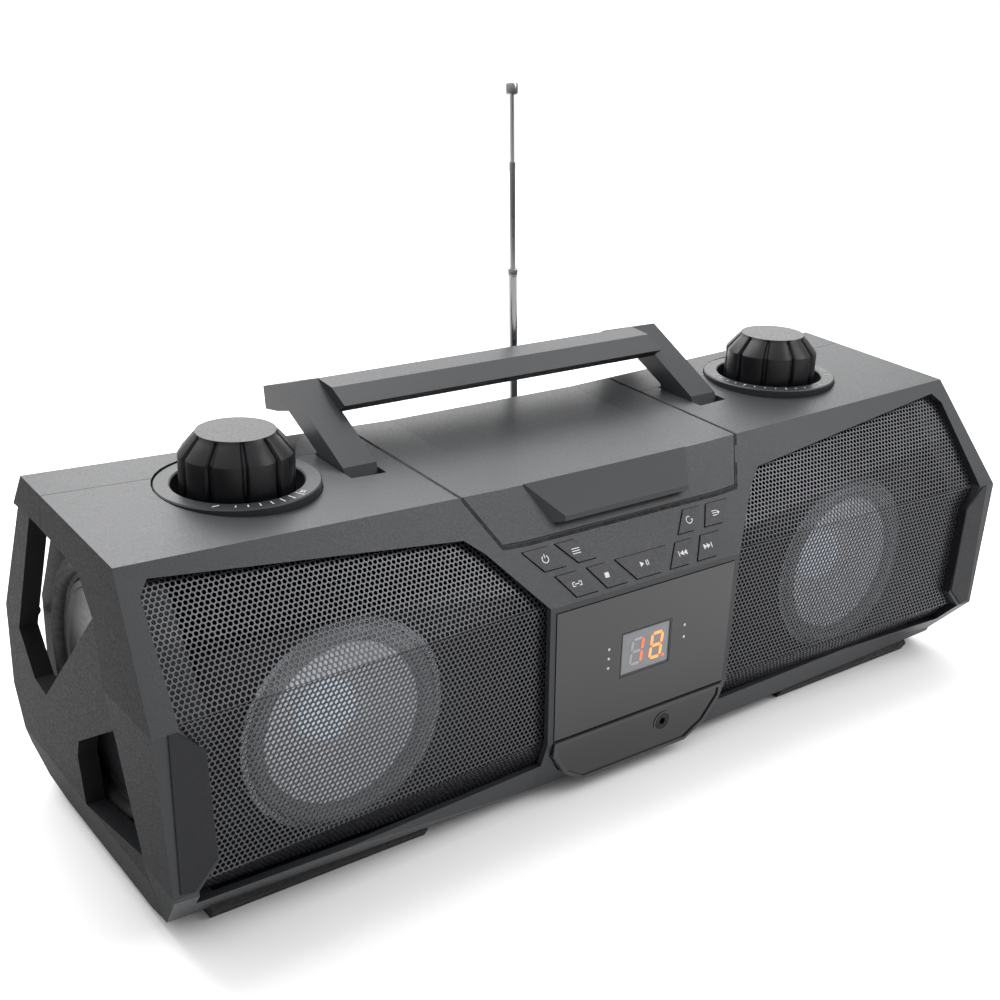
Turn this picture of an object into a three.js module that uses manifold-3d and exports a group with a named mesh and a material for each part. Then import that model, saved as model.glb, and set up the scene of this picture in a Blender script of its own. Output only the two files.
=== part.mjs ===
// Portable disc and radio boombox, built as an assembly of separate pieces.
// Millimetres. X runs along the length, -Y is the front, +Z is up, the feet rest on Z = 0.
import * as THREE from 'three';
import { mergeVertices } from 'three/addons/utils/BufferGeometryUtils.js';
import Module from 'manifold-3d';

const wasm = await Module();
wasm.setup();

// ---- driving dimensions ----
const GAP = 0.3;
const WALL = 3;
const HALF_MID = 60;
const HALF_END = 257;
const HALF_CORE = 232;
const PARTING_Y = 25;
const FLOOR_Z = 4;
const ROUND = 20;

// Body sections in the Y, Z plane, matched point for point.
const END_SECTION = [
  [-55, 4], [-72, 8], [-95, 34.5], [-95, 108], [-53.5, 161], [50, 166.5],
  [94, 88], [95, 45], [80, 18], [64, 7], [42, 4],
];
const MID_SECTION = [
  [-55, 4], [-76, 7], [-85.4, 35.5], [-85.4, 106.7], [-49.5, 153.9], [52, 159],
  [94, 88], [95, 45], [80, 18], [64, 7], [42, 4],
];
// The ends lean slightly, widest at the height of the front kink.
const END_TAPER = [
  [-249, 175], [-256, 108], [-251.5, 35], [-244, -2],
  [244, -2], [251.5, 35], [256, 108], [249, 175],
];
// Open region of each end, behind the front pillar and under the top hood.
const END_WINDOW = [
  [-68, -5], [-66, 38], [-54, 88], [-46.5, 112], [-35.5, 133], [-18, 147], [31, 151], [110, 151], [110, -5],
];

const GUARD = { inner: 240.5, outer: 249.5, stand: HALF_CORE + GAP };
const GUARD_UPPER = [[32, 158], [-42, 145], [45.5, 60.5], [60, 62.5], [76.5, 82], [50, 138], [40, 158]];
const GUARD_LOWER = [[9.5, 46.5], [6.5, 55.5], [-60, 96], [-74, 44], [-74, 39], [-62, 35], [4, 24.5]];
const GUARD_BOSSES = [[76, 48], [30, 11]];

const RADIATOR = { y: 6, z: 78, hole: 57, plate: 49.5, ring: 64 };

const GRILLE_OUTLINE = [
  [58.8, 22], [58.8, 36], [60.4, 106.8], [84, 132.6], [93, 139.6], [238.5, 155], [243.3, 150],
  [244.5, 108.5], [235, 95.8], [231, 45], [240.5, 34.5], [238, 22],
];
const GRILLE = { pocket: 8, lip: 3, sheet: 1.1, back: -48 };

const SPEAKER = { x: 159.5, z: 72, face: -68, hole: 47.5 };

const LID_PLAN = [[-73.6, -65], [73.6, -65], [86, -49.5], [86, 57.5], [-86, 57.5], [-86, -49.5]];
const LID_HINGE = { y: 48, z: 150, pin: 1.5, lug: 3.6, lugX: 61, shellX: 69 };
const LUG_PROFILE = [[45, 134], [45, 153], [50.9, 153], [50.9, 141.5], [66, 141.5], [66, 134]];
const DISC = { y: -3.5, well: 61.5, floor: 122, top: 150 };

const HANDLE = { y: 8, z: 150, pin: 3, inner: 101, outer: 119 };
const ARM_PROFILE = [
  [-6, 150], [-1.6, 160.3], [51, 188], [75.7, 180.4], [73.7, 169], [61.4, 171], [49.6, 174.2],
  [23.3, 161.5], [20, 152], [12, 143], [2, 143],
];
const GRIP_PROFILE = [[25, 180.5], [37.3, 186.6], [51, 188], [60, 184], [59, 172.5], [50, 171], [32, 175.5]];

const KNOB = { x: 168.8, y: 5, radius: 25.75, bottom: 154, top: 186, flutes: 10, shaft: 3 };
const DIAL = { outer: 37.2, inner: 29.6, top: 162.6, floor: 150.5 };

const BAND = { y: -85.4, z: 106.7, angle: Math.atan2(47.2, 35.9), proud: 0.7, deep: 5.6 };
// Button outlines on the sloped band: X, then distance up the slope.
const BUTTONS = {
  button_power: [[-65, 28.4], [-50.5, 28.4], [-44.5, 17.4], [-56.5, 17.4]],
  button_source: [[-45.8, 28.4], [-34.8, 28.4], [-26.5, 17.4], [-36.7, 17.4]],
  button_pair: [[-52, 13.8], [-39.5, 13.8], [-32, 2.2], [-44.5, 2.2]],
  button_stop: [[-33.3, 13.8], [-22.5, 13.8], [-14, 2.2], [-26, 2.2]],
  button_play: [[-16, 13.8], [16, 13.8], [7.5, 2.2], [-7.5, 2.2]],
  button_previous: [[22.5, 13.8], [33.3, 13.8], [26, 2.2], [14, 2.2]],
  button_next: [[39.5, 13.8], [52, 13.8], [44.5, 2.2], [32, 2.2]],
  button_repeat: [[34.8, 28.4], [45.8, 28.4], [36.7, 17.4], [26.5, 17.4]],
  button_program: [[50.5, 28.4], [65, 28.4], [56.5, 17.4], [44.5, 17.4]],
};

const PANEL_OUTLINE = [[-56.8, 103.4], [-55.2, 36.8], [55.2, 36.8], [56.8, 103.4]];
const WINDOW_OUTLINE = [[-16, 82.2], [-16, 59], [16, 59], [16, 82.2]];
const CHIN_OUTLINE = [
  [-55.2, 36], [-55.2, 28], [-46, 14.5], [-34, 7], [34, 7], [46, 14.5], [55.2, 28], [55.2, 36],
];
const JACK = { x: 15.9, z: 24.6, collar: 4.5, bore: 1.8 };

const ANTENNA = { x: 33, y: 68.5, z: 134, lean: 3.4, tube: 2.3, middle: 1.6, rod: 1.1, tip: 3.2 };

const BAY = { halfX: 102, back: 35, low: 46, high: 88 };
const INLET = { x: 165, z: 66, halfX: 12, halfZ: 8.5 };

const FOOT = { near: 118, far: 226 };

// ---- materials ----
const shellPlastic = new THREE.MeshStandardMaterial({ color: 0x3a3d40, roughness: 0.62, metalness: 0 });
const darkPlastic = new THREE.MeshStandardMaterial({ color: 0x232527, roughness: 0.55, metalness: 0 });
const blackPlastic = new THREE.MeshStandardMaterial({ color: 0x141516, roughness: 0.4, metalness: 0 });
const gloss = new THREE.MeshStandardMaterial({ color: 0x0c0d0f, roughness: 0.08, metalness: 0 });
const meshMetal = new THREE.MeshStandardMaterial({ color: 0x2b2d2f, roughness: 0.45, metalness: 0.6 });
const paper = new THREE.MeshStandardMaterial({ color: 0x8f9398, roughness: 0.8, metalness: 0 });
const rubber = new THREE.MeshStandardMaterial({ color: 0x1a1a1b, roughness: 0.85, metalness: 0 });
const chrome = new THREE.MeshStandardMaterial({ color: 0xc9cbce, roughness: 0.12, metalness: 1 });
const steel = new THREE.MeshStandardMaterial({ color: 0x8d9094, roughness: 0.4, metalness: 0.9 });
const board = new THREE.MeshStandardMaterial({ color: 0x1f5a35, roughness: 0.6, metalness: 0 });
const lit = new THREE.MeshStandardMaterial({ color: 0x5a5c60, roughness: 0.2, metalness: 0 });

// ---- solids ----
function solid(geometry) {
  const bare = geometry.index ? geometry.toNonIndexed() : geometry.clone();
  bare.deleteAttribute('normal');
  bare.deleteAttribute('uv');
  const merged = mergeVertices(bare, 1e-4);
  const vertProperties = new Float32Array(merged.attributes.position.array);
  const triVerts = new Uint32Array(merged.index.array);
  return new wasm.Manifold(new wasm.Mesh({ numProp: 3, vertProperties, triVerts }));
}

function geometryOf(body) {
  const mesh = body.getMesh();
  const geometry = new THREE.BufferGeometry();
  geometry.setAttribute('position', new THREE.BufferAttribute(new Float32Array(mesh.vertProperties), 3));
  geometry.setIndex(new THREE.BufferAttribute(new Uint32Array(mesh.triVerts), 1));
  geometry.computeVertexNormals();
  return geometry;
}

function outlineShape(points) {
  return new THREE.Shape(points.map(([a, b]) => new THREE.Vector2(a, b)));
}

function extruded(points, length, basis, origin) {
  const geometry = new THREE.ExtrudeGeometry(outlineShape(points), { depth: length, bevelEnabled: false });
  const matrix = new THREE.Matrix4().makeBasis(...basis);
  matrix.setPosition(...origin);
  geometry.applyMatrix4(matrix);
  return solid(geometry);
}

const AX = new THREE.Vector3(1, 0, 0);
const AY = new THREE.Vector3(0, 1, 0);
const AZ = new THREE.Vector3(0, 0, 1);

// Outline in Y, Z swept along X.
function prismX(points, x0, x1) {
  return extruded(points, x1 - x0, [AY, AZ, AX], [x0, 0, 0]);
}

// Outline in X, Z swept along Y.
function prismY(points, y0, y1) {
  return extruded(points, y1 - y0, [AX, AZ, AY.clone().negate()], [0, y1, 0]);
}

// Outline in X, Y swept along Z.
function prismZ(points, z0, z1) {
  return extruded(points, z1 - z0, [AX, AY, AZ], [0, 0, z0]);
}

function box(x0, x1, y0, y1, z0, z1) {
  const geometry = new THREE.BoxGeometry(x1 - x0, y1 - y0, z1 - z0);
  geometry.translate((x0 + x1) / 2, (y0 + y1) / 2, (z0 + z1) / 2);
  return solid(geometry);
}

// Closed radius and height profile turned about a vertical, lengthwise or forward axis.
function turned(profile, axis, sides = ROUND) {
  const points = profile.map(([r, h]) => new THREE.Vector2(r, h));
  const closesOnAxis = profile[0][0] === 0 && profile[profile.length - 1][0] === 0;
  if (!closesOnAxis) points.push(points[0].clone());
  const geometry = new THREE.LatheGeometry(points, sides);
  if (axis === 'z') geometry.rotateX(Math.PI / 2);
  if (axis === 'x') geometry.rotateZ(-Math.PI / 2);
  if (axis === '-x') geometry.rotateZ(Math.PI / 2);
  if (axis === '-y') geometry.rotateX(Math.PI);
  return solid(reversedIfInside(geometry));
}

function disc(radius, h0, h1, axis, sides = ROUND) {
  return turned([[0, h0], [radius, h0], [radius, h1], [0, h1]], axis, sides);
}

function reversedIfInside(geometry) {
  const p = geometry.attributes.position;
  const index = geometry.index.array;
  const a = new THREE.Vector3();
  const b = new THREE.Vector3();
  const c = new THREE.Vector3();
  let volume = 0;
  for (let i = 0; i < index.length; i += 3) {
    a.fromBufferAttribute(p, index[i]);
    b.fromBufferAttribute(p, index[i + 1]);
    c.fromBufferAttribute(p, index[i + 2]);
    volume += a.dot(b.cross(c));
  }
  if (volume < 0) {
    for (let i = 0; i < index.length; i += 3) {
      const swap = index[i];
      index[i] = index[i + 1];
      index[i + 1] = swap;
    }
  }
  return geometry;
}

// Solid through matched convex Y, Z rings at rising X stations.
function loft(stations) {
  const count = stations[0].ring.length;
  const positions = [];
  const faces = [];
  for (const { x, ring } of stations) {
    for (const [y, z] of ring) positions.push(x, y, z);
  }
  for (let s = 0; s < stations.length - 1; s += 1) {
    for (let i = 0; i < count; i += 1) {
      const j = (i + 1) % count;
      const a = s * count + i;
      const b = s * count + j;
      const c = a + count;
      const d = b + count;
      faces.push(a, b, c, b, d, c);
    }
  }
  const last = (stations.length - 1) * count;
  for (let i = 1; i < count - 1; i += 1) {
    faces.push(0, i + 1, i);
    faces.push(last, last + i, last + i + 1);
  }
  const geometry = new THREE.BufferGeometry();
  geometry.setAttribute('position', new THREE.BufferAttribute(new Float32Array(positions), 3));
  geometry.setIndex(faces);
  return solid(reversedIfInside(geometry));
}

// Convex ring moved inwards by a wall thickness.
function inset(ring, wall) {
  const count = ring.length;
  let area = 0;
  for (let i = 0; i < count; i += 1) {
    const [y0, z0] = ring[i];
    const [y1, z1] = ring[(i + 1) % count];
    area += y0 * z1 - y1 * z0;
  }
  const side = Math.sign(area);
  const lines = ring.map(([y0, z0], i) => {
    const [y1, z1] = ring[(i + 1) % count];
    const length = Math.hypot(y1 - y0, z1 - z0);
    const ny = (-(z1 - z0) / length) * side;
    const nz = ((y1 - y0) / length) * side;
    return { ny, nz, d: ny * y0 + nz * z0 + wall };
  });
  return lines.map((line, i) => {
    const before = lines[(i + count - 1) % count];
    const det = before.ny * line.nz - line.ny * before.nz;
    return [
      (before.d * line.nz - line.d * before.nz) / det,
      (before.ny * line.d - line.ny * before.d) / det,
    ];
  });
}

function section(x) {
  const t = Math.max(0, (Math.abs(x) - HALF_MID) / (HALF_END - HALF_MID));
  return MID_SECTION.map(([y, z], i) => [
    y + (END_SECTION[i][0] - y) * t,
    z + (END_SECTION[i][1] - z) * t,
  ]);
}

// The body outline moved inwards by a wall and trimmed to a half length.
function bodyBlank(halfX, wall) {
  const reach = HALF_END + 6;
  const full = loft([-reach, -HALF_MID, HALF_MID, reach].map((x) => ({ x, ring: inset(section(x), wall) })));
  return full.intersect(box(-halfX, halfX, -150, 150, -20, 220));
}

function mirrored(points) {
  return points.map(([a, b]) => [-a, b]).reverse();
}

function grown(points, by) {
  const shape = points.map(([a, b]) => new THREE.Vector2(a, b));
  if (THREE.ShapeUtils.area(shape) < 0) shape.reverse();
  const count = shape.length;
  return shape.map((p, i) => {
    const before = shape[(i + count - 1) % count];
    const after = shape[(i + 1) % count];
    const inDir = p.clone().sub(before).normalize();
    const outDir = after.clone().sub(p).normalize();
    const inNormal = new THREE.Vector2(inDir.y, -inDir.x);
    const outNormal = new THREE.Vector2(outDir.y, -outDir.x);
    const mid = inNormal.clone().add(outNormal).normalize();
    const reach = by / mid.dot(outNormal);
    return [p.x + mid.x * reach, p.y + mid.y * reach];
  });
}

function union(parts) {
  return parts.reduce((whole, part) => whole.add(part));
}

const group = new THREE.Group();

function place(name, body, material, x = 0, y = 0, z = 0) {
  const mesh = new THREE.Mesh(geometryOf(body), material);
  mesh.name = name;
  mesh.position.set(x, y, z);
  group.add(mesh);
  return mesh;
}

// ---- shells ----
const taper = prismY(END_TAPER, -120, 120);
const outer = bodyBlank(HALF_END, 0).intersect(taper);
const windows = prismX(END_WINDOW, HALF_CORE, 262).add(prismX(END_WINDOW, -262, -HALF_CORE));
let shell = outer.subtract(windows).subtract(bodyBlank(HALF_CORE - WALL, WALL));

const liningTrim = bodyBlank(HALF_CORE - WALL - GAP, WALL + 0.6);

// Radiator holes, knob holes, handle slots and the lid opening.
for (const side of [-1, 1]) {
  const low = side > 0 ? HALF_CORE - WALL - 1 : -HALF_CORE - 1;
  const high = low + WALL + 2;
  shell = shell.subtract(disc(RADIATOR.hole, low, high, 'x', 32).translate(0, RADIATOR.y, RADIATOR.z));
  const seatLow = side > 0 ? HALF_CORE : -HALF_CORE - 7;
  const seat = disc(RADIATOR.ring + GAP, seatLow, seatLow + 7, 'x', 32).translate(0, RADIATOR.y, RADIATOR.z);
  shell = shell.subtract(seat);
  const knobHole = disc(DIAL.outer + 0.5, 145, 175, 'z', 36).translate(side * KNOB.x, KNOB.y, 0);
  shell = shell.subtract(knobHole);
  const armLow = side > 0 ? HANDLE.inner : -HANDLE.outer;
  const armHigh = side > 0 ? HANDLE.outer : -HANDLE.inner;
  shell = shell.subtract(box(armLow - 0.5, armHigh + 0.5, -10, 24.4, 145, 175));
  const nearRib = box(armLow - 5.5, armLow - 1, -8, 22, 141, 160);
  const farRib = box(armHigh + 1, armHigh + 5.5, -8, 22, 141, 160);
  const ribs = nearRib.add(farRib);
  const pinHole = disc(HANDLE.pin + 0.08, armLow - 8, armHigh + 8, 'x').translate(0, HANDLE.y, HANDLE.z);
  shell = shell.add(ribs.intersect(bodyBlank(HALF_CORE - 1, 1)).subtract(pinHole));
}
const lidCut = prismZ(grown(LID_PLAN, 0.4), 147.2, 180)
  .add(prismZ(grown(LID_PLAN, 0.4), 126, 150).intersect(box(-100, 100, -80, 0, 126, 150)));
shell = shell.subtract(lidCut).subtract(box(-86.4, 86.4, 50, 57.5, 139, 150));

// Sound openings behind the grilles.
for (const outline of [GRILLE_OUTLINE, mirrored(GRILLE_OUTLINE)]) {
  shell = shell.subtract(prismY(outline, -110, GRILLE.back).subtract(bodyBlank(HALF_END + 5, GRILLE.pocket)));
}

// Display, chin and button openings.
shell = shell.subtract(prismY(grown(PANEL_OUTLINE, GAP), -110, -75));
shell = shell.subtract(prismY(grown(CHIN_OUTLINE, GAP), -110, -66));

function onBand(points, low, high) {
  const upright = prismZ(points, low, high);
  return upright.rotate([THREE.MathUtils.radToDeg(BAND.angle), 0, 0]).translate([0, BAND.y, BAND.z]);
}
for (const outline of Object.values(BUTTONS)) {
  shell = shell.subtract(onBand(grown(outline, 0.35), -WALL - 1, 2));
}

// Antenna boss on the rear facet.
const antennaPost = disc(9, 104, 150, 'z').translate(ANTENNA.x, ANTENNA.y, 0);
const antennaSocket = disc(6.4, 116, 160, 'z').translate(ANTENNA.x, ANTENNA.y, 0);
shell = shell.add(antennaPost.intersect(bodyBlank(HALF_CORE, 0.4))).subtract(antennaSocket);

// Battery bay walls, cover opening and inlet hole.
const bayOuter = box(-BAY.halfX - 2, BAY.halfX + 2, BAY.back - 2, 94, BAY.low - 2, BAY.high + 2);
const bayInner = box(-BAY.halfX, BAY.halfX, BAY.back, 100, BAY.low, BAY.high);
shell = shell.add(bayOuter.intersect(bodyBlank(HALF_CORE, 0.4))).subtract(bayInner);
const inletHole = box(
  INLET.x - INLET.halfX - GAP, INLET.x + INLET.halfX + GAP, 85, 100,
  INLET.z - INLET.halfZ - GAP, INLET.z + INLET.halfZ + GAP,
);
shell = shell.subtract(inletHole);

// Lugs that carry the lid pin.
for (const side of [-1, 1]) {
  const post = prismX(LUG_PROFILE, side * LID_HINGE.shellX - 3, side * LID_HINGE.shellX + 3);
  shell = shell.add(post.intersect(bodyBlank(HALF_CORE, 1)));
}
const lidPinHole = disc(LID_HINGE.pin + 0.08, -74, 74, 'x').translate(0, LID_HINGE.y, LID_HINGE.z);
shell = shell.subtract(lidPinHole);

const frontHalf = box(-300, 300, -150, PARTING_Y - 0.15, -10, 220);
const rearHalf = box(-300, 300, PARTING_Y + 0.15, 150, -10, 220);
place('front_shell', shell.intersect(frontHalf), shellPlastic);
place('rear_shell', shell.intersect(rearHalf), shellPlastic);

// ---- end guards ----
function endGuard() {
  let plate = prismX([[-110, -5], [110, -5], [110, 149.6], [-110, 149.6]], GUARD.inner, GUARD.outer);
  plate = plate.intersect(bodyBlank(HALF_END, 0.5)).intersect(taper);
  const pillar = box(230, 260, -120, 120, -10, 200).subtract(prismX(grown(END_WINDOW, -0.4), 229, 261));
  plate = plate.subtract(pillar);
  plate = plate.subtract(prismX(GUARD_UPPER, 230, 260)).subtract(prismX(GUARD_LOWER, 230, 260));
  for (const [y, z] of GUARD_BOSSES) {
    plate = plate.add(disc(4, GUARD.stand, GUARD.inner + 1, 'x', 16).translate(0, y, z));
  }
  return plate;
}
const guard = endGuard();
place('right_end_guard', guard, shellPlastic);
place('left_end_guard', guard.mirror([1, 0, 0]), shellPlastic);

// ---- passive radiators ----
const ringProfile = [[50, 0], [64, 0], [64, 2], [60.5, 2.4], [57.5, 4.6], [53.5, 4.6], [51, 2.4], [50, 2]];
const plateProfile = [[0, 0.6], [49.4, 0.6], [49.4, 2.4], [47, 3], [30, 3.8], [0, 4.2]];
for (const [name, axis, side] of [['left', '-x', -1], ['right', 'x', 1]]) {
  const at = side * (HALF_CORE + GAP);
  place(`${name}_radiator_surround`, turned(ringProfile, axis, 32), rubber, at, RADIATOR.y, RADIATOR.z);
  place(`${name}_radiator_plate`, turned(plateProfile, axis, 32), darkPlastic, at, RADIATOR.y, RADIATOR.z);
}

// ---- grilles, baffles and speakers ----
function grille(outline) {
  const behindWall = WALL + 0.4;
  const cutter = bodyBlank(HALF_CORE + 20, behindWall + GRILLE.sheet);
  const sheet = bodyBlank(HALF_CORE + 16, behindWall).subtract(cutter);
  const lipped = prismY(grown(outline, GRILLE.lip), -110, GRILLE.back - 1).intersect(
    box(-HALF_CORE + WALL + 0.6, HALF_CORE - WALL - 0.6, -110, 0, FLOOR_Z, 200),
  );
  const whole = sheet.intersect(lipped.add(prismY(grown(outline, -0.4), -110, GRILLE.back - 1)));
  return whole.subtract(box(-56.2, 56.2, -110, 0, 0, 38));
}
const baffleOutline = [[66, 16], [224, 16], [224, 119], [80, 119], [66, 105]];
const basketProfile = [
  [49.8, 0.3], [49.8, 2.3], [47, 2.3], [47, 0], [44.5, 0], [44.5, -2], [24.5, -25], [8, -25],
  [8, -27.5], [26, -27.5], [46.8, -3.5], [46.8, 0.3],
];
const surroundProfile = [[38.3, 0.3], [38.3, 1.2], [40, 3.4], [44.6, 3.4], [46.7, 1.4], [46.7, 0.3]];
const coneProfile = [
  [0, -20], [13, -20], [38, -1.5], [38, 1], [36.6, 1], [13.5, -15.5], [9, -12], [4.5, -10.2], [0, -9.6],
];
for (const side of [-1, 1]) {
  const name = side < 0 ? 'left' : 'right';
  const sideOutline = (points) => (side < 0 ? mirrored(points) : points);
  place(`${name}_grille`, grille(sideOutline(GRILLE_OUTLINE)), meshMetal);
  const hole = disc(SPEAKER.hole, -80, 80, '-y', 28).translate(side * SPEAKER.x, 0, SPEAKER.z);
  const plate = prismY(sideOutline(baffleOutline), SPEAKER.face, SPEAKER.face + 4).intersect(liningTrim);
  place(`${name}_baffle`, plate.subtract(hole), blackPlastic);
  const at = [side * SPEAKER.x, SPEAKER.face, SPEAKER.z];
  place(`${name}_speaker_basket`, turned(basketProfile, '-y', 28), steel, ...at);
  place(`${name}_speaker_surround`, turned(surroundProfile, '-y', 28), rubber, ...at);
  place(`${name}_speaker_cone`, turned(coneProfile, '-y', 28), paper, ...at);
  place(`${name}_speaker_magnet`, disc(25, -42, -27.8, '-y', 24), steel, ...at);
}

// ---- disc lid, well and mechanism ----
const lidPrism = prismZ(LID_PLAN, 126, 180);
let lid = bodyBlank(HALF_END - 10, 0).intersect(lidPrism).subtract(bodyBlank(HALF_END, WALL));
lid = lid.subtract(box(-100, 100, 0, 100, 100, 148.8));
const lipSide = prismX([[-49, 153.2], [-50, 154.4], [-67, 141.6], [-67, 139], [-62, 137.4]], -51, 51);
const lipPlan = prismZ([[-51, -48], [-51, -50], [-39, -67], [39, -67], [51, -50], [51, -48]], 120, 170);
lid = lid.add(lipSide.intersect(lipPlan).subtract(bodyBlank(HALF_END, 1)));
for (const side of [-1, 1]) {
  const x = side * LID_HINGE.lugX;
  const web = prismX([[46.6, 150], [46.6, 157.2], [53, 157.6], [53.6, 150]], x - 3, x + 3);
  const knuckle = disc(LID_HINGE.lug, x - 3, x + 3, 'x', 20).translate(0, LID_HINGE.y, LID_HINGE.z);
  lid = lid.add(web.add(knuckle).intersect(bodyBlank(HALF_END, 0.8)));
}
lid = lid.subtract(disc(LID_HINGE.pin + 0.08, -70, 70, 'x').translate(0, LID_HINGE.y, LID_HINGE.z));
place('disc_lid', lid, shellPlastic);
place('lid_hinge_pin', disc(LID_HINGE.pin, -71.5, 71.5, 'x', ROUND), steel, 0, LID_HINGE.y, LID_HINGE.z);

const cup = disc(DISC.well + 2.5, DISC.floor, DISC.top, 'z', 40)
  .subtract(disc(DISC.well, DISC.floor + 2, DISC.top + 1, 'z', 40))
  .translate(0, DISC.y, 0);
const flange = box(-84, 84, -56, 42, DISC.top - 2, DISC.top).subtract(
  disc(DISC.well, DISC.top - 6, DISC.top + 6, 'z', 40).translate(0, DISC.y, 0),
);
const laserSlot = box(18, 58, -10, 3, DISC.floor - 2, DISC.floor + 4);
const spindleHole = disc(4, DISC.floor - 2, DISC.floor + 4, 'z', 24).translate(0, DISC.y, 0);
const hingeRoom = box(-80, 80, 44, 70, 142.5, 156);
place('disc_well', cup.add(flange).intersect(liningTrim).subtract(laserSlot).subtract(spindleHole)
  .subtract(hingeRoom), darkPlastic);
const spindleProfile = [
  [0, 112], [3, 112], [3, 124.4], [15, 124.4], [15, 126], [7.4, 126], [7.4, 128.4], [5, 130.6], [0, 131],
];
place('disc_spindle', turned(spindleProfile, 'z', 28), blackPlastic, 0, DISC.y, 0);
const sled = box(20, 36, -8.5, 1.5, 116, 124.6).add(
  disc(2.4, 120, 125.4, 'z', 20).translate(28, -3.5, 0),
);
place('laser_sled', sled, darkPlastic);

// ---- handle ----
function arm(x0, x1) {
  return prismX(ARM_PROFILE, x0, x1);
}
const grip = prismX(GRIP_PROFILE, -HANDLE.inner - 1, HANDLE.inner + 1);
let handle = grip.add(arm(HANDLE.inner, HANDLE.outer)).add(arm(-HANDLE.outer, -HANDLE.inner));
handle = handle.subtract(disc(HANDLE.pin + 0.08, -130, 130, 'x').translate(0, HANDLE.y, HANDLE.z));
place('carry_handle', handle, shellPlastic);
for (const [name, x] of [['left', -124.5], ['right', 95.5]]) {
  place(`${name}_handle_pin`, disc(HANDLE.pin, 0, 29, 'x', ROUND), steel, x, HANDLE.y, HANDLE.z);
}

// ---- knobs and dials ----
function flutedKnob() {
  const { radius, bottom, top } = KNOB;
  const chamfer = 7;
  const profile = [
    [0, bottom], [radius, bottom], [radius, top - chamfer],
    [radius - 5.5, top - 1], [radius - 7, top], [0, top],
  ];
  let knob = turned(profile, 'z', 60);
  for (let i = 0; i < KNOB.flutes; i += 1) {
    const groove = box(radius - 1.6, radius + 3, -2.3, 2.3, bottom - 1, top + 1);
    knob = knob.subtract(groove.rotate([0, 0, (360 / KNOB.flutes) * (i + 0.5)]));
  }
  const shaft = disc(KNOB.shaft, bottom - 9, bottom + 1, 'z', 24);
  return knob.add(shaft);
}
const dialProfile = [
  [DIAL.outer, DIAL.top - 6], [DIAL.outer, DIAL.top], [DIAL.inner, DIAL.top], [DIAL.inner, DIAL.floor + 1.6],
  [4, DIAL.floor + 1.6], [4, DIAL.floor], [DIAL.inner + 1.6, DIAL.floor], [DIAL.inner + 1.6, DIAL.top - 6],
];
const controlProfile = [
  [0, 138], [9, 138], [9, 150.1], [3.4, 150.1], [3.4, 144], [0, 144],
];
for (const [dial, knob, control, side] of [
  ['volume_dial_ring', 'volume_knob', 'volume_control', -1],
  ['tuning_dial_ring', 'tuning_knob', 'tuning_control', 1],
]) {
  const x = side * KNOB.x;
  place(dial, turned(dialProfile, 'z', 36), blackPlastic, x, KNOB.y, 0);
  place(knob, flutedKnob(), blackPlastic, x, KNOB.y, 0);
  place(control, turned(controlProfile, 'z', 24), steel, x, KNOB.y, 0);
}

// ---- buttons ----
for (const [name, outline] of Object.entries(BUTTONS)) {
  const cap = prismZ(outline, -BAND.deep + 1, BAND.proud);
  const flangePlate = prismZ(grown(outline, 0.8), -BAND.deep, -BAND.deep + 1.2);
  const mesh = place(name, cap.add(flangePlate), darkPlastic, 0, BAND.y, BAND.z);
  mesh.rotation.x = BAND.angle;
}

// ---- display, chin and jack ----
const panel = prismY(PANEL_OUTLINE, -85.8, -83).subtract(prismY(grown(WINDOW_OUTLINE, GAP), -90, -80));
place('display_panel', panel, gloss);
place('display_module', prismY(WINDOW_OUTLINE, -85.2, -74), lit);
const chinSide = [[-85.4, 35.6], [-82.8, 7.2], [-73, 7.2], [-81.4, 35.6]];
const chinHole = disc(JACK.collar + GAP, 60, 95, '-y', 24).translate(JACK.x, 0, JACK.z);
const chin = prismX(chinSide, -58, 58).intersect(prismY(CHIN_OUTLINE, -100, -60));
place('chin_cover', chin.subtract(chinHole), darkPlastic);
const jackProfile = [
  [JACK.collar, 0], [JACK.collar, 14.6], [JACK.bore, 14.6], [JACK.bore, 3], [0, 3], [0, 0],
];
place('headphone_jack', turned(jackProfile, '-y', 24), blackPlastic, JACK.x, -70.2, JACK.z);

// ---- antenna ----
const tilt = THREE.MathUtils.degToRad(ANTENNA.lean);
const swivelCore = disc(6, -17.5, -5, 'z', 24);
const ears = box(-5.4, -3.2, -3, 3, -6, 3.6).add(box(3.2, 5.4, -3, 3, -6, 3.6));
const pivotPin = disc(1.3, -4.5, 4.5, 'x', 20);
const swivel = swivelCore.add(ears).add(pivotPin);
place('antenna_swivel', swivel, blackPlastic, ANTENNA.x, ANTENNA.y, ANTENNA.z);
const knuckle = box(-2.9, 2.9, -3, 3, -3.6, 8).add(disc(ANTENNA.tube, 7, 90, 'z', 20));
const tubeBore = disc(ANTENNA.middle + 0.22, 12, 95, 'z', 20);
const tubeBody = knuckle.subtract(disc(1.5, -5, 5, 'x', 20)).subtract(tubeBore);
const middleBody = disc(ANTENNA.middle, 66, 147, 'z', 16).subtract(disc(ANTENNA.rod + 0.2, 70, 150, 'z', 16));
const tipProfile = [
  [0, 128], [ANTENNA.rod, 128], [ANTENNA.rod, 181.4], [ANTENNA.tip - 0.5, 181.4], [ANTENNA.tip, 182.2],
  [ANTENNA.tip, 186.6], [ANTENNA.tip - 0.8, 187.6], [0, 187.6],
];
const mast = [
  ['antenna_tube', tubeBody],
  ['antenna_middle', middleBody],
  ['antenna_rod', turned(tipProfile, 'z', 16)],
];
for (const [name, body] of mast) {
  const mesh = place(name, body, chrome, ANTENNA.x, ANTENNA.y, ANTENNA.z);
  mesh.rotation.x = -tilt;
}

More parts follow.
